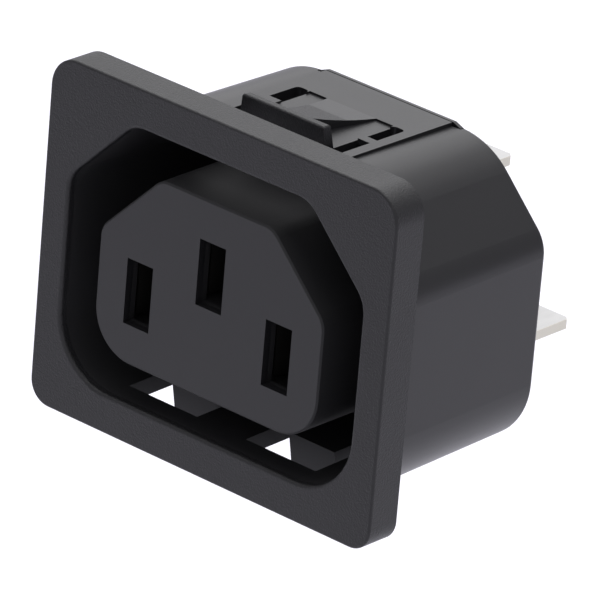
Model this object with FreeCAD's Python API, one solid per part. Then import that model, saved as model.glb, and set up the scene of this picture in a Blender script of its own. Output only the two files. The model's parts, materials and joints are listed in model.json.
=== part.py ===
import FreeCAD, Part
from collections import namedtuple
import math
import os

# A mains outlet that snaps into a panel cut-out from the front. All sizes are millimetres.
# The origin is the middle of the flange's back face, which seats on the panel. The front
# faces -Y, +X is to the right as seen from the front, and +Z is up.

# Keyed well that takes the plug's skirt
well_width = 29.5
well_height = 22.2
well_depth = 16.1
well_key_cut = 6.0
well_key_round = 2.5
well_corner_radius = 5.2
well_mouth_round = 0.3
well_draft = 0.35

# Flange in front of the panel, with its border round the well
flange_side_border = 2.55
flange_end_border = 3.15
flange_thickness = 3.1
flange_upper_radius = 2.5
flange_lower_radius = 1.9
flange_front_round = 0.2
flange_back_bevel = 0.1

# Contact block in the middle of the well, with the ring that the plug's skirt fills
ring_side = 3.5
ring_end = 3.25
block_key_cut = 5.65
block_key_round = 1.8
block_corner_radius = 3.8
block_edge_bevel = 0.15
block_draft = 0.1
block_face_wall = 1.2

# Contact places and the slots in front of them
pole_margin = 4.25
earth_rise = 4.0
slot_width = 2.6
slot_height = 5.3
cavity_side_clearance = 0.35
cavity_end_clearance = 0.1

# Shell behind the flange
shell_side_wall = 1.5
shell_top_wall = 0.7
shell_bottom_wall = 1.35
shell_key_wall = 1.28
shell_shoulder_round = 7.0
shell_key_round = 3.2
shell_corner_radius = 6.1
shell_draft = 0.3
shell_rear_round = 0.4
floor_wall = 1.0

# Sprung tongue cut into the shell's top, with its catch bar and gusset
tongue_width = 8.4
tongue_sink = 0.15
tongue_slot = 1.2
tongue_slot_round = 0.4
spring_margin = 4.8
bridge_set_back = 4.0
bridge_length = 0.8
bridge_thickness = 0.45
panel_reach = 3.5
bar_length = 0.75
bar_foot_length = 1.15
bar_taper = 0.15
bar_rise = 1.7
bar_round = 0.2
gusset_front_width = 1.9
gusset_rear_width = 4.9
gusset_sag = 0.25

# Raised pad round the tongue, along the top of the shell
pad_margin = 0.95
pad_rise_front = 0.15
pad_rise_rear = 0.3

# Two sprung fingers under the well, each behind a window
finger_width = 4.6
finger_slot = 1.2
finger_margin = 0.05
finger_gap = 2.95
finger_lean = 0.5
window_set_in = 0.5
hook_rise = 1.05
hook_flat = 0.6
hook_ramp_margin = 2.3

# Contacts, folded from sheet, with terminals of two layers
sheet = 0.4
bend_radius = 0.3
root_gap = 2.3
waist_gap = 1.7
mouth_lead = 0.1
leaf_margin = 0.65
leaf_relief = 0.4
web_margin = 0.05
mouth_set_back = 0.3
waist_set_back = 2.4
leaf_length = 6.6
neck_length = 5.0
neck_width = 3.0
neck_margin = 0.15
joggle_margin = 0.3
joggle_length = 2.0
terminal_width = 6.3
terminal_length = 11.2
terminal_corner = 0.5
terminal_lead = 0.2
power_terminal_offset = 4.45
wing_reach = 0.55
wing_length = 0.8

# Cover that closes the back of the shell
cover_depth = 2.1
cover_rim = 1.3
cover_clearance = 0.05
cover_tab = 0.65
cover_tab_slope = 0.75
cover_tab_gap = 0.12
cover_tab_round = 0.3
cover_slot_margin = 0.1

# Two lengths or angles that differ by less than this are taken as the same
same = 1e-4

# Places worked out from the sizes above
front = -flange_thickness
floor_front = front + well_depth
floor_back = floor_front + floor_wall
block_back = floor_front + floor_wall / 2
shell_depth = floor_back + cover_depth
spring_root = shell_depth - spring_margin
bridge_front = spring_root - bridge_set_back
pad_width = tongue_width + 2 * (tongue_slot + pad_margin)
bar_top_width = tongue_width - 2 * bar_taper
hook_ramp_end = spring_root - hook_ramp_margin
contact_front = front + block_face_wall + mouth_set_back
barrel_front = contact_front + leaf_length
barrel_back = floor_back - neck_length
mouth_gap = slot_width + mouth_lead
leaf_reach = slot_height / 2 + cavity_end_clearance - leaf_margin
web_face = slot_height / 2 + sheet + web_margin
cavity_width = mouth_gap + 2 * (sheet + cavity_side_clearance)
joggle_start = barrel_back + joggle_margin
terminal_end = shell_depth + terminal_length
terminal_thickness = 2 * sheet
wing_width = terminal_width + 2 * wing_reach
diagonal_wall = math.sqrt(2)

Outline = namedtuple("Outline", "half_width top bottom diagonal shoulder_round key_round corner_radius")
Pole = namedtuple("Pole", "x z side terminal_offset")

well = Outline(
    well_width / 2, well_height / 2, well_height / 2,
    well_width / 2 + well_height / 2 - well_key_cut,
    well_key_round, well_key_round, well_corner_radius)
block = Outline(
    well.half_width - ring_side, well.top - ring_end, well.bottom - ring_end,
    well.half_width - ring_side + well.top - ring_end - block_key_cut,
    block_key_round, block_key_round, block_corner_radius)
shell = Outline(
    well.half_width + shell_side_wall, well.top + shell_top_wall, well.bottom + shell_bottom_wall,
    well.diagonal + shell_key_wall * diagonal_wall,
    shell_shoulder_round, shell_key_round, shell_corner_radius)
hook_height = shell.bottom + hook_rise
finger_middle = well.half_width - well.corner_radius - finger_margin - finger_slot - finger_width / 2

# The webs of the two power contacts are below their pins, and the earth contact's is above.
# The earth terminal runs straight back from the web, and the other two step down to theirs.
earth_terminal_offset = web_face - terminal_thickness / 2
power_pole = block.half_width - pole_margin
poles = {
    "line_contact": Pole(power_pole, -earth_rise / 2, -1, power_terminal_offset),
    "neutral_contact": Pole(-power_pole, -earth_rise / 2, -1, power_terminal_offset),
    "earth_contact": Pole(0, earth_rise / 2, 1, earth_terminal_offset),
}


def on_xz(y):
    """Puts flat points on the upright plane at depth y, as seen from the front."""
    return lambda u, v: FreeCAD.Vector(u, y, v)


def on_yz(x):
    """Puts flat points on the upright plane at x, as seen from the side."""
    return lambda u, v: FreeCAD.Vector(x, u, v)


def on_xy(z):
    """Puts flat points on the level plane at height z, as seen from above."""
    return lambda u, v: FreeCAD.Vector(u, v, z)


def rounded(points, radii, place):
    """Closed wire through the points, with each corner rounded by its own radius."""
    corners = [place(*point) for point in points]
    arcs = []
    for i, corner in enumerate(corners):
        back = (corners[i - 1] - corner).normalize()
        ahead = (corners[(i + 1) % len(corners)] - corner).normalize()
        half_angle = back.getAngle(ahead) / 2
        set_back = radii[i] / math.tan(half_angle)
        inward = (back + ahead).normalize()
        crown = corner + inward * (radii[i] / math.sin(half_angle) - radii[i])
        arcs.append((corner + back * set_back, crown, corner + ahead * set_back))
    edges = []
    for i, (start, crown, end) in enumerate(arcs):
        if radii[i] > 0:
            edges.append(Part.Arc(start, crown, end).toShape())
        edges.append(Part.makeLine(end, arcs[(i + 1) % len(arcs)][0]))
    return Part.Wire(edges)


def prism(points, place, along, radii=None):
    """Solid swept straight from a flat outline."""
    wire = rounded(points, radii or [0] * len(points), place)
    return Part.Face(wire).extrude(along)


def box(x0, x1, y0, y1, z0, z1):
    """Block between two opposite corners, given in any order."""
    low = FreeCAD.Vector(min(x0, x1), min(y0, y1), min(z0, z1))
    return Part.makeBox(abs(x1 - x0), abs(y1 - y0), abs(z1 - z0), low)


def inset(outline, distance):
    """The same keyed outline with every side moved in by distance."""
    return Outline(
        outline.half_width - distance, outline.top - distance, outline.bottom - distance,
        outline.diagonal - distance * diagonal_wall, outline.shoulder_round - distance,
        outline.key_round - distance, outline.corner_radius - distance)


def keyed_wire(outline, y):
    """Outline at depth y, whose upper corners are cut where x plus z is the diagonal."""
    side = outline.diagonal - outline.half_width
    shoulder = outline.diagonal - outline.top
    points = [
        (-outline.half_width, -outline.bottom), (outline.half_width, -outline.bottom),
        (outline.half_width, side), (shoulder, outline.top),
        (-shoulder, outline.top), (-outline.half_width, side)]
    radii = [outline.corner_radius] * 2 + [
        outline.key_round, outline.shoulder_round, outline.shoulder_round, outline.key_round]
    return rounded(points, radii, on_xz(y))


def keyed_solid(outline, y0, y1, draft):
    """Keyed block from y0 to y1, whose sides lean in by draft on the way."""
    wires = [keyed_wire(outline, y0), keyed_wire(inset(outline, draft), y1)]
    return Part.makeLoft(wires, True, True)


def edges_at(solid, y):
    """Edges that lie wholly in the upright plane at depth y."""
    return [edge for edge in solid.Edges
            if abs(edge.BoundBox.YMin - y) < same and abs(edge.BoundBox.YMax - y) < same]


def strip_outline(path, thickness, inner_radius):
    """Corners and radii of a bent strip of even thickness along a flat path."""
    left, right, left_radii, right_radii = [], [], [], []
    for i, (u, v) in enumerate(path):
        before = path[max(i - 1, 0)]
        after = path[min(i + 1, len(path) - 1)]
        if i == 0:
            before = (2 * u - after[0], 2 * v - after[1])
        if i == len(path) - 1:
            after = (2 * u - before[0], 2 * v - before[1])
        angle_in = math.atan2(v - before[1], u - before[0])
        angle_out = math.atan2(after[1] - v, after[0] - u)
        turn = math.remainder(angle_out - angle_in, 2 * math.pi)
        across = angle_in + turn / 2 + math.pi / 2
        reach = thickness / 2 / math.cos(turn / 2)
        left.append((u + reach * math.cos(across), v + reach * math.sin(across)))
        right.append((u - reach * math.cos(across), v - reach * math.sin(across)))
        bent = abs(turn) > same
        left_radii.append((inner_radius if turn > 0 else inner_radius + thickness) * bent)
        right_radii.append((inner_radius if turn < 0 else inner_radius + thickness) * bent)
    return left + right[::-1], left_radii + right_radii[::-1]


def bent_strip(path, place, along):
    """Folded sheet along a flat path."""
    points, radii = strip_outline(path, sheet, bend_radius)
    return prism(points, place, along, radii)


def shell_top(y):
    """Height of the shell's top face beside the pad."""
    return shell.top - shell_draft * y / shell_depth


def pad_top(y):
    """Height of the raised pad, whose rise over the shell grows to the rear."""
    return shell_top(y) + pad_rise_front + (pad_rise_rear - pad_rise_front) * y / shell_depth


def flange():
    """Plate in front of the panel."""
    w = well.half_width + flange_side_border
    h = well.top + flange_end_border
    plate = prism(
        [(-w, -h), (w, -h), (w, h), (-w, h)], on_xz(front), FreeCAD.Vector(0, flange_thickness, 0),
        [flange_lower_radius] * 2 + [flange_upper_radius] * 2)
    plate = plate.makeFillet(flange_front_round, edges_at(plate, front))
    return plate.makeChamfer(flange_back_bevel, edges_at(plate, 0))


def pad():
    """Raised pad on the shell's top, sunk into the wall under it."""
    points = [(0, well.top / 2), (shell_depth, well.top / 2),
              (shell_depth, pad_top(shell_depth)), (0, pad_top(0))]
    return prism(points, on_yz(-pad_width / 2), FreeCAD.Vector(pad_width, 0, 0))


def hollow_shell():
    """Flange and shell with the well cut into them."""
    outside = keyed_solid(shell, 0, shell_depth, shell_draft)
    outside = outside.makeFillet(shell_rear_round, edges_at(outside, shell_depth))
    body = flange().fuse([outside, pad()])
    body = body.cut(keyed_solid(well, front, floor_front, well_draft)).removeSplitter()
    mouth = [edge for edge in edges_at(body, front)
             if abs(edge.CenterOfMass.x) < well.half_width + same
             and abs(edge.CenterOfMass.z) < well.top + same]
    return body.makeFillet(well_mouth_round, mouth)


def contact_block():
    """Middle block, a little larger at its root than at its face."""
    solid = keyed_solid(block, front, block_back, -block_draft)
    return solid.makeChamfer(block_edge_bevel, edges_at(solid, front))


def cavity(pole):
    """Space for one contact: the front slot, the main cavity and the neck's lower pocket."""
    far = pole.z - pole.side * (slot_height / 2 + cavity_end_clearance)
    near = pole.z + pole.side * web_face
    foot = pole.z + pole.side * (pole.terminal_offset + terminal_thickness / 2)
    neck = neck_width / 2 + neck_margin
    spaces = [
        box(pole.x - slot_width / 2, pole.x + slot_width / 2, front, front + block_face_wall,
            pole.z - slot_height / 2, pole.z + slot_height / 2),
        box(pole.x - cavity_width / 2, pole.x + cavity_width / 2,
            front + block_face_wall, floor_back, far, near)]
    if abs(foot - near) > same:
        spaces.append(box(pole.x - neck, pole.x + neck, barrel_back, floor_back, near, foot))
    return spaces


def tongue_cuts():
    """Slots and gap that free the tongue, and the shallow recess of its top face."""
    half = tongue_width / 2
    under = well.top / 2 + block.top / 2
    over = bar_top()
    bridge_back = bridge_front + bridge_length
    cuts = [box(-half - tongue_slot, half + tongue_slot, 0, panel_reach, under, over)]
    for side in (-1, 1):
        inner = side * half
        outer = side * (half + tongue_slot)
        cuts.append(box(inner, outer, 0, bridge_front, under, over))
        cuts.append(box(inner, outer, bridge_front, bridge_back, under,
                        pad_top(bridge_back) - bridge_thickness))
        rear_slot = [(inner, bridge_back), (outer, bridge_back), (outer, spring_root), (inner, spring_root)]
        cuts.append(prism(rear_slot, on_xy(under), FreeCAD.Vector(0, 0, over - under),
                          [0, 0, tongue_slot_round, tongue_slot_round]))
    recess = [(0, pad_top(0) - tongue_sink), (spring_root, pad_top(spring_root) - tongue_sink),
              (spring_root, over), (0, over)]
    cuts.append(prism(recess, on_yz(-half), FreeCAD.Vector(tongue_width, 0, 0)))
    return cuts


def bar_top():
    """Height of the catch bar, over the pad's front end."""
    return pad_top(0) + bar_rise


def bar_foot():
    """Level at which the bar and the gusset start, inside the tongue."""
    return pad_top(0) - 2 * tongue_sink


def catch_bar():
    """Upright bar at the tongue's free end, narrower and thinner at its rounded top."""
    base = tongue_width / 2
    top = bar_top_width / 2
    front_view = prism([(-base, bar_foot()), (base, bar_foot()), (top, bar_top()), (-top, bar_top())],
                       on_xz(panel_reach), FreeCAD.Vector(0, bar_foot_length, 0))
    side_view = prism([(panel_reach, bar_foot()), (panel_reach + bar_foot_length, bar_foot()),
                       (panel_reach + bar_length, bar_top()), (panel_reach, bar_top())],
                      on_yz(-base), FreeCAD.Vector(tongue_width, 0, 0))
    bar = front_view.common(side_view)
    upper = [edge for edge in bar.Edges if edge.BoundBox.ZMin > bar_top() - same]
    return bar.makeFillet(bar_round, upper)


def gusset():
    """Rib behind the bar that widens and falls in a hollow curve to the tongue's root."""
    near = panel_reach + bar_length / 2
    crest = bar_top() - bar_round
    front_half = gusset_front_width / 2
    rear_half = gusset_rear_width / 2
    root_height = pad_top(spring_root)
    plan = prism([(-front_half, near), (front_half, near), (rear_half, spring_root),
                  (-rear_half, spring_root)], on_xy(bar_foot()), FreeCAD.Vector(0, 0, bar_rise * 2))
    place = on_yz(-rear_half)
    start = place(near, crest)
    end = place(spring_root, root_height)
    middle = place((near + spring_root) / 2, (crest + root_height) / 2 - gusset_sag)
    sides = [Part.makeLine(end, place(spring_root, bar_foot())),
             Part.makeLine(place(spring_root, bar_foot()), place(near, bar_foot())),
             Part.makeLine(place(near, bar_foot()), start)]
    side_view = Part.Face(Part.Wire([Part.Arc(start, middle, end).toShape()] + sides))
    return plan.common(side_view.extrude(FreeCAD.Vector(gusset_rear_width, 0, 0)))


def finger_face(z):
    """Depth of the fingers' leaning front faces at the height z."""
    return finger_gap + finger_lean * (-well.bottom - z) / (hook_height - well.bottom)


def finger_cuts():
    """Windows in front of the two fingers, and the slots along their sides."""
    cuts = []
    over = -(well.bottom + block.bottom) / 2
    under = -hook_height
    window = [(-window_set_in, over), (finger_face(over), over), (finger_face(under), under),
              (-window_set_in, under)]
    outer = finger_width / 2 + finger_slot
    for side in (-1, 1):
        middle = side * finger_middle
        cuts.append(prism(window, on_yz(middle - outer), FreeCAD.Vector(2 * outer, 0, 0)))
        for edge in (-1, 1):
            cuts.append(box(middle + edge * finger_width / 2, middle + edge * outer,
                            0, spring_root, over, under))
    return cuts


def hooks():
    """Catches under the fingers: a leaning front face, a tip and a long ramp."""
    skin = -(well.bottom + shell.bottom) / 2
    ramp_foot = -shell.bottom + shell_draft * hook_ramp_end / shell_depth
    tip = finger_face(-hook_height)
    points = [(finger_face(skin), skin), (tip, -hook_height), (tip + hook_flat, -hook_height),
              (hook_ramp_end, ramp_foot), (hook_ramp_end, skin)]
    return [prism(points, on_yz(side * finger_middle - finger_width / 2),
                  FreeCAD.Vector(finger_width, 0, 0)) for side in (-1, 1)]


def cover_seat():
    """Outline of the recess that holds the rear cover."""
    return inset(shell, shell_draft + cover_rim)


def cover_space():
    """Seat of the rear cover and the notch for its top tab."""
    half = pad_width / 2 + cover_tab_slope + cover_tab_gap
    notch = box(-half, half, shell_depth - cover_tab, shell_depth, cover_seat().top - cover_rim, pad_top(0))
    return [prism_of(cover_seat(), floor_back, shell_depth), notch]


def prism_of(outline, y0, y1):
    """Keyed block with straight sides."""
    return Part.Face(keyed_wire(outline, y0)).extrude(FreeCAD.Vector(0, y1 - y0, 0))


def housing():
    """The one black moulding."""
    body = hollow_shell().fuse(contact_block())
    spaces = cover_space() + tongue_cuts() + finger_cuts()
    for pole in poles.values():
        spaces += cavity(pole)
    body = body.cut(spaces)
    return body.fuse([catch_bar(), gusset()] + hooks()).removeSplitter()


def leaf(pole, edge):
    """One sprung side of the receptacle: it closes to a waist and flares at the mouth."""
    root = root_gap / 2 + sheet / 2
    path = [(root, barrel_front + sheet), (root, barrel_front),
            (waist_gap / 2 + sheet / 2, contact_front + waist_set_back),
            (mouth_gap / 2 + sheet / 2, contact_front)]
    path = [(pole.x + edge * x, y) for x, y in path]
    low = pole.z - pole.side * leaf_reach
    high = pole.z + pole.side * (web_face - sheet - leaf_relief)
    return bent_strip(path, on_xy(low), FreeCAD.Vector(0, 0, high - low))


def barrel(pole):
    """Folded channel that joins the two leaves."""
    root = root_gap / 2 + sheet / 2
    edge = pole.z - pole.side * leaf_reach
    web = pole.z + pole.side * (web_face - sheet / 2)
    path = [(pole.x - root, edge), (pole.x - root, web), (pole.x + root, web), (pole.x + root, edge)]
    return bent_strip(path, on_xz(barrel_front), FreeCAD.Vector(0, barrel_back - barrel_front, 0))


def neck(pole):
    """Narrow strip from the channel's web to the terminal, stepped where the two differ."""
    web = pole.z + pole.side * (web_face - sheet / 2)
    layer = pole.z + pole.side * (pole.terminal_offset + sheet / 2)
    path = [(barrel_back - sheet, web), (floor_back + sheet, layer)]
    if abs(layer - web) > same:
        path[1:1] = [(joggle_start, web), (joggle_start + joggle_length, layer)]
    return bent_strip(path, on_yz(pole.x - neck_width / 2), FreeCAD.Vector(neck_width, 0, 0))


def terminal(pole):
    """Flat tab with holding wings at its root and cut corners at its end."""
    wing = wing_width / 2
    half = terminal_width / 2
    wing_back = floor_back + wing_length
    right = [(wing, floor_back), (wing, wing_back), (half, wing_back),
             (half, terminal_end - terminal_corner), (half - terminal_corner, terminal_end)]
    points = [(pole.x + x, y) for x, y in right] + [(pole.x - x, y) for x, y in right[::-1]]
    low = pole.z + pole.side * pole.terminal_offset - terminal_thickness / 2
    tab = prism(points, on_xy(low), FreeCAD.Vector(0, 0, terminal_thickness))
    end = [edge for edge in edges_at(tab, terminal_end) if edge.Length > terminal_thickness * 2]
    return tab.makeChamfer(terminal_lead, end)


def contact(pole):
    """One folded contact with its terminal."""
    return barrel(pole).fuse([leaf(pole, -1), leaf(pole, 1), neck(pole), terminal(pole)]).removeSplitter()


def cover_top_tab():
    """Tab of the rear cover that carries on the pad's top, with ends that slope to the shell."""
    base = cover_seat().top - cover_rim
    crest = pad_top(shell_depth)
    crest_half = pad_width / 2
    foot_half = crest_half + cover_tab_slope
    foot = shell_top(shell_depth)
    depth = cover_tab - cover_tab_gap
    tab = prism([(-foot_half, base), (foot_half, base), (foot_half, foot), (crest_half, crest),
                 (-crest_half, crest), (-foot_half, foot)],
                on_xz(shell_depth - depth), FreeCAD.Vector(0, depth, 0))
    rear_edges = [edge for edge in edges_at(tab, shell_depth) if edge.BoundBox.ZMax > crest - same]
    return tab.makeFillet(cover_tab_round, rear_edges)


def rear_cover():
    """Plate behind the contacts, with a slot for each terminal."""
    plate = prism_of(inset(cover_seat(), cover_clearance), floor_back, shell_depth)
    spaces = []
    for pole in poles.values():
        middle = pole.z + pole.side * pole.terminal_offset
        high = terminal_thickness / 2 + cover_slot_margin
        half_slot = terminal_width / 2 + cover_slot_margin
        half_wing = wing_width / 2 + cover_slot_margin
        spaces.append(box(pole.x - half_slot, pole.x + half_slot, floor_back, shell_depth,
                          middle - high, middle + high))
        spaces.append(box(pole.x - half_wing, pole.x + half_wing, floor_back,
                          floor_back + wing_length, middle - high, middle + high))
    return plate.fuse(cover_top_tab()).cut(spaces).removeSplitter()


os.makedirs("parts", exist_ok=True)
pieces = {"housing": housing(), "rear_cover": rear_cover()}
for name, pole in poles.items():
    pieces[name] = contact(pole)
for name, piece in pieces.items():
    piece.exportStep("parts/" + name + ".step")
    print(name, "solids", len(piece.Solids), "valid", piece.isValid(),
          "volume", round(piece.Volume, 2), "triangles", len(piece.tessellate(0.05)[1]))
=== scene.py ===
import json
import math

import bpy
from mathutils import Matrix, Vector

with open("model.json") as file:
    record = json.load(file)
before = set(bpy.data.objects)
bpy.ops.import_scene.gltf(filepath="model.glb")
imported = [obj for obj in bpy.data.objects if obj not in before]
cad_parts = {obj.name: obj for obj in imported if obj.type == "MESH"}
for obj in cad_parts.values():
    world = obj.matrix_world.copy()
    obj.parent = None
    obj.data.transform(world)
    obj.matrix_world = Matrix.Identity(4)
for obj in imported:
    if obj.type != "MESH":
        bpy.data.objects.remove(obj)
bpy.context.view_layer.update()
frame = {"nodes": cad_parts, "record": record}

MM = 0.001

# Camera, solved from the photograph's edges: degrees, millimetres and pixels of a 600 px frame
CAMERA_AZIMUTH = 40.331
CAMERA_ELEVATION = 23.765
CAMERA_ROLL = 4.901
CAMERA_DISTANCE = 517.55
CAMERA_FOCAL_PIXELS = 7107.4
FRAME_PIXELS = 600
SENSOR_WIDTH = 36.0
# Nearest and farthest distance that the camera sees, in metres
CAMERA_NEAR = 0.01
CAMERA_FAR = 100
# The point that the camera circles, from the middle of the flange's back face
CAMERA_TARGET = (8.794, -3.1, 3.285)

# The bounds between finishes are millimetres from the middle of the flange's back face, as in the CAD.
# The well's outline runs inside the shell's walls. Its lower corners are rounded, and its upper ones
# are cut off where side and height add up to its key.
WELL_CORNER_SIDE = 9.85
WELL_CORNER_HEIGHT = -6.1
WELL_CORNER_RADIUS = 5.65
WELL_TOP = 11.12
WELL_KEY = 20.2
WELL_MOUTH = -2.4
# Half width, half height and key of an outline in the ring round the contact block, and of one in the
# block's front wall round its slots
BLOCK_OUTLINE = (13.0, 9.5, 19.0)
SLOTS_OUTLINE = (8.6, 6.8, 12.0)
BLOCK_FRONT = -3.07
# The underside of the shell, with the two sprung fingers
UNDERSIDE_TOP = -11.0
UNDERSIDE_FRONT = 0.3
UNDERSIDE_SIDE = 11.5
# The flange lies in front of the first. Behind it, only the catch bar and its gusset rise above the second.
FLANGE_BACK = 0.02
CATCH_FOOT = 12.2
# Behind this a contact is a flat terminal, and in front of it are its neck and folded leaves, which are
# painted near black as the shade inside the slots
TERMINAL_START = 15.5
# Cut edges of a terminal: its sides, its end and the corners that are cut between them
POLE_SIDE = 7.0
CUT_SIDE = 3.13
CUT_END = 27.28
CUT_CORNER = 29.93

# Black moulding: clouds and specks to the millimetre, the height of the eroded grain in millimetres, and
# the share of it that the smooth faces have
BLACK_TONES = ((0.0075, 0.0074, 0.0083, 1), (0.0105, 0.0103, 0.0115, 1))
BLACK_CLOUDS = 0.16
BLACK_SPECKS = 7.0
BLACK_GRAIN = 0.055
SMOOTH_SHARE = 0.1
BLACK_ROUGHNESS = 0.31
CLOUD_ROUGHNESS = 0.06
SPECK_ROUGHNESS = 0.05
ERODED_ROUGHNESS = 0.09
DULL_ROUGHNESS = 0.34

# Tin plate: clouds and rolling lines to the millimetre, the share of the lines' rate that is left along
# the strip, and their height in millimetres
TIN_TONES = ((0.455, 0.453, 0.448, 1), (0.515, 0.513, 0.508, 1))
CUT_EDGE_TONE = (0.70, 0.68, 0.60, 1)
# Painted shade: near black for the necks and folded leaves inside the slots, standing in for the shade
# there, not the tin's own colour
LEAF_SLOT_SHADE_TONE = (0.03, 0.029, 0.027, 1)
TIN_CLOUDS = 0.6
TIN_LINES = 5.0
RATE_ALONG = 0.05
LINE_HEIGHT = 0.002
TIN_ROUGHNESS = 0.52
LINE_ROUGHNESS = 0.15

# Sockets of a Mix node that is set to mix colours
MIX_FIRST = 6
MIX_SECOND = 7
MIX_RESULT = 2

# Studio: the floor's drop in millimetres and its side in metres
TENT_TONE = (0.99, 0.982, 1.05, 1)
TENT_STRENGTH = 0.56
FLOOR_TONE = (0.885, 0.875, 0.94, 1)
FLOOR_DROP = 60.0
FLOOR_SIZE = 4.0
# Square soft lights: place and aim in metres, side in metres and power in watts
SOFT_LIGHTS = {
    "overhead_box": ((-0.06, 0.12, 0.42), (-0.06, 0.1, 0), 0.55, 2.15),
    "rear_box": ((-0.35, 0.42, 0.3), (0, 0, 0), 0.5, 0.84),
    "front_fill": ((0.33, -0.39, 0.3), (0, 0, 0), 0.3, 0.25),
}


class Sock:
    """A shader socket that takes part in arithmetic: each operation adds a Math node."""

    def __init__(self, tree, socket):
        self.tree = tree
        self.socket = socket

    def _math(self, operation, first, second):
        return node(self.tree, "ShaderNodeMath", {"operation": operation}, {0: first, 1: second})

    def __add__(self, other):
        return self._math("ADD", self, other)

    def __radd__(self, other):
        return self._math("ADD", other, self)

    def __sub__(self, other):
        return self._math("SUBTRACT", self, other)

    def __rsub__(self, other):
        return self._math("SUBTRACT", other, self)

    def __mul__(self, other):
        return self._math("MULTIPLY", self, other)

    def __rmul__(self, other):
        return self._math("MULTIPLY", other, self)

    def size(self):
        return self._math("ABSOLUTE", self, 0.0)

    def most(self, other):
        return self._math("MAXIMUM", self, other)

    def least(self, other):
        return self._math("MINIMUM", self, other)

    def above(self, other):
        return self._math("GREATER_THAN", self, other)

    def below(self, other):
        return self._math("LESS_THAN", self, other)


def node(tree, kind, settings=None, inputs=None, output=0):
    """Adds a node: its settings are set first, then the values or links of its sockets."""
    made = tree.nodes.new(kind)
    for name, value in (settings or {}).items():
        setattr(made, name, value)
    for name, value in (inputs or {}).items():
        if isinstance(value, Sock):
            tree.links.new(value.socket, made.inputs[name])
        else:
            made.inputs[name].default_value = value
    return Sock(tree, made.outputs[output])


def coordinate(tree, place, axis):
    """One coordinate of a place, in millimetres."""
    return node(tree, "ShaderNodeSeparateXYZ", {}, {"Vector": place}, axis) * (1 / MM)


def noise(tree, place, per_millimetre, detail=2.0, roughness=0.5):
    """Soft random field from 0 to 1, with so many lumps to the millimetre."""
    return node(tree, "ShaderNodeTexNoise", {}, {
        "Vector": place, "Scale": per_millimetre / MM, "Detail": detail, "Roughness": roughness})


def mix(tree, share, first, second):
    """Colour between two others, the second where the share is 1."""
    return node(tree, "ShaderNodeMix", {"data_type": "RGBA"}, {
        "Factor": share, MIX_FIRST: first, MIX_SECOND: second}, MIX_RESULT)


def relief(tree, field, height):
    """Bumps of a field from 0 to 1, with the height in millimetres where it is 1."""
    return node(tree, "ShaderNodeBump", {}, {"Strength": 1.0, "Distance": height * MM, "Height": field})


def surface(name, constants):
    """New material, with the values that are the same all over it set on its shader."""
    material = bpy.data.materials.new(name)
    material.use_nodes = True
    shader = material.node_tree.nodes["Principled BSDF"]
    for socket, value in constants.items():
        shader.inputs[socket].default_value = value
    return material


def feed(tree, fields):
    """Links what changes over a surface to its shader."""
    shader = tree.nodes["Principled BSDF"]
    for socket, field in fields.items():
        tree.links.new(field.socket, shader.inputs[socket])


def keyed(side, z, half_width, half_height, key):
    """1 inside an upright outline with its upper corners cut off, and 0 outside it."""
    return side.below(half_width) * z.size().below(half_height) * (side + z).below(key)


def dull_walls(side, y, z):
    """1 in the well, on the block's sides and on the underside, and 0 elsewhere."""
    across = (side - WELL_CORNER_SIDE).most(0.0)
    down = (WELL_CORNER_HEIGHT - z).most(0.0)
    rounded = across * across + down * down - WELL_CORNER_RADIUS ** 2
    outside = rounded.most(z - WELL_TOP).most(side + z - WELL_KEY)
    well = outside.below(0.0) * y.above(WELL_MOUTH)
    slots = keyed(side, z, *SLOTS_OUTLINE)
    block_sides = keyed(side, z, *BLOCK_OUTLINE) * (1.0 - slots) * y.above(BLOCK_FRONT)
    underside = z.below(UNDERSIDE_TOP) * y.above(UNDERSIDE_FRONT) * side.below(UNDERSIDE_SIDE)
    return well.most(block_sides).most(underside)


def moulded_black():
    """Black moulded plastic: spark-eroded flange and catch bar, dull walls in the well, faint clouds."""
    material = surface("moulded_black", {"IOR": 1.42, "Specular IOR Level": 0.5})
    tree = material.node_tree
    place = node(tree, "ShaderNodeTexCoord", output="Object")
    side = coordinate(tree, place, "X").size()
    y = coordinate(tree, place, "Y")
    z = coordinate(tree, place, "Z")
    dull = dull_walls(side, y, z)
    flange = y.below(FLANGE_BACK) * (1.0 - keyed(side, z, *BLOCK_OUTLINE))
    eroded = flange.most(z.above(CATCH_FOOT)) * (1.0 - dull)
    clouds = noise(tree, place, BLACK_CLOUDS)
    specks = noise(tree, place, BLACK_SPECKS, roughness=0.6)
    rough = (BLACK_ROUGHNESS + clouds * CLOUD_ROUGHNESS + specks * SPECK_ROUGHNESS
             + eroded * ERODED_ROUGHNESS + dull * DULL_ROUGHNESS)
    grain = specks * (SMOOTH_SHARE + eroded * (1.0 - SMOOTH_SHARE))
    feed(tree, {
        "Base Color": mix(tree, (clouds + specks) * 0.5, *BLACK_TONES),
        "Roughness": rough,
        "Normal": relief(tree, grain, BLACK_GRAIN)})
    return material


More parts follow.
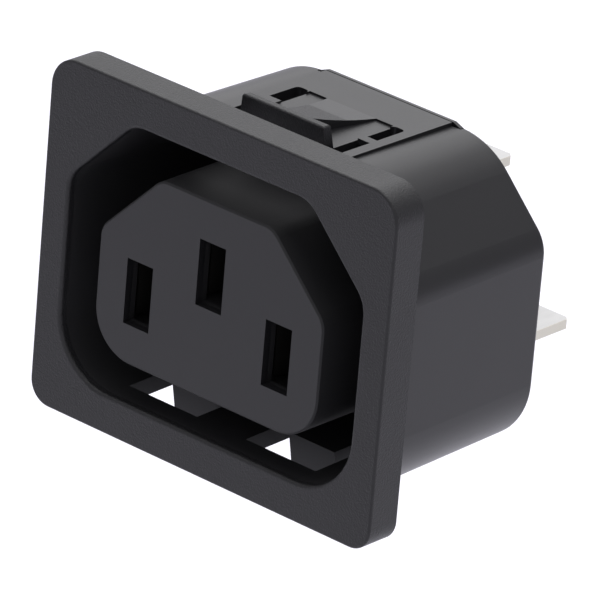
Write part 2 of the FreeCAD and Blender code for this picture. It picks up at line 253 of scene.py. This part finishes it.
def tinned_brass():
    """Tin-plated strip: satin faces with faint rolling lines, warmer cut edges, and the necks and folded
    leaves painted near black as the shade inside the slots.
    """
    material = surface("tinned_brass", {"Metallic": 1.0})
    tree = material.node_tree
    place = node(tree, "ShaderNodeTexCoord", output="Object")
    side = coordinate(tree, place, "X").size()
    y = coordinate(tree, place, "Y")
    off_middle = side.least((side - POLE_SIDE).size())
    cut = off_middle.above(CUT_SIDE).most(y.above(CUT_END)).most((off_middle + y).above(CUT_CORNER))
    stretched = node(tree, "ShaderNodeMapping", {}, {"Vector": place, "Scale": (1.0, RATE_ALONG, 1.0)})
    lines = noise(tree, stretched, TIN_LINES, detail=3.0, roughness=0.6)
    plated = mix(tree, noise(tree, place, TIN_CLOUDS), *TIN_TONES)
    terminal = mix(tree, cut, plated, CUT_EDGE_TONE)
    feed(tree, {
        # Painted shade: in front of the terminal start the metal takes the near-black slot shade
        "Base Color": mix(tree, y.above(TERMINAL_START), LEAF_SLOT_SHADE_TONE, terminal),
        "Roughness": TIN_ROUGHNESS + lines * LINE_ROUGHNESS,
        "Normal": relief(tree, lines, LINE_HEIGHT)})
    return material


def dress(node_name, material):
    """Gives a carried-over node its finish."""
    slots = frame["nodes"][node_name].data.materials
    slots.clear()
    slots.append(material)


def place_camera():
    """Camera at the photograph's place, turned to its target and rolled about its line of sight."""
    azimuth = math.radians(CAMERA_AZIMUTH)
    elevation = math.radians(CAMERA_ELEVATION)
    roll = Matrix.Rotation(math.radians(CAMERA_ROLL), 3, "Z")
    back = Vector((math.sin(azimuth) * math.cos(elevation),
                   -math.cos(azimuth) * math.cos(elevation), math.sin(elevation)))
    right = (-back).cross(Vector((0, 0, 1))).normalized()
    up = right.cross(-back)
    turn = Matrix((right, up, back)).transposed() @ roll
    place = (Vector(CAMERA_TARGET) + back * CAMERA_DISTANCE) * MM
    data = bpy.data.cameras.new("photo_camera")
    data.sensor_width = SENSOR_WIDTH
    data.lens = CAMERA_FOCAL_PIXELS / FRAME_PIXELS * SENSOR_WIDTH
    data.clip_start = CAMERA_NEAR
    data.clip_end = CAMERA_FAR
    camera = bpy.data.objects.new("photo_camera", data)
    camera.matrix_world = Matrix.Translation(place) @ turn.to_4x4()
    bpy.context.scene.collection.objects.link(camera)
    bpy.context.scene.camera = camera


def soft_light(name, place, aim, size, power):
    """Square area light at a place, facing the point that it is aimed at."""
    data = bpy.data.lights.new(name, "AREA")
    data.shape = "SQUARE"
    data.size = size
    data.energy = power
    lamp = bpy.data.objects.new(name, data)
    turn = (Vector(aim) - Vector(place)).to_track_quat("-Z", "Y")
    lamp.matrix_world = Matrix.Translation(place) @ turn.to_matrix().to_4x4()
    bpy.context.scene.collection.objects.link(lamp)


def studio():
    """White tent: an even pale surround, a floor well below the part and three soft lights."""
    world = bpy.data.worlds.new("white_tent")
    world.use_nodes = True
    background = world.node_tree.nodes["Background"]
    background.inputs["Color"].default_value = TENT_TONE
    background.inputs["Strength"].default_value = TENT_STRENGTH
    bpy.context.scene.world = world
    bpy.ops.mesh.primitive_plane_add(size=FLOOR_SIZE, location=(0, 0, -FLOOR_DROP * MM))
    floor = bpy.context.object
    floor.name = "floor"
    floor.data.materials.append(surface("pale_floor", {
        "Base Color": FLOOR_TONE, "Roughness": 0.9, "Specular IOR Level": 0.0}))
    for name, (place, aim, size, power) in SOFT_LIGHTS.items():
        soft_light(name, place, aim, size, power)
    bpy.context.scene.view_settings.view_transform = "Standard"


place_camera()
finishes = {"moulding": moulded_black(), "contact_metal": tinned_brass()}
for part in frame["record"]["subparts"]:
    dress(part["node"], finishes[part["material_slot"]])
studio()
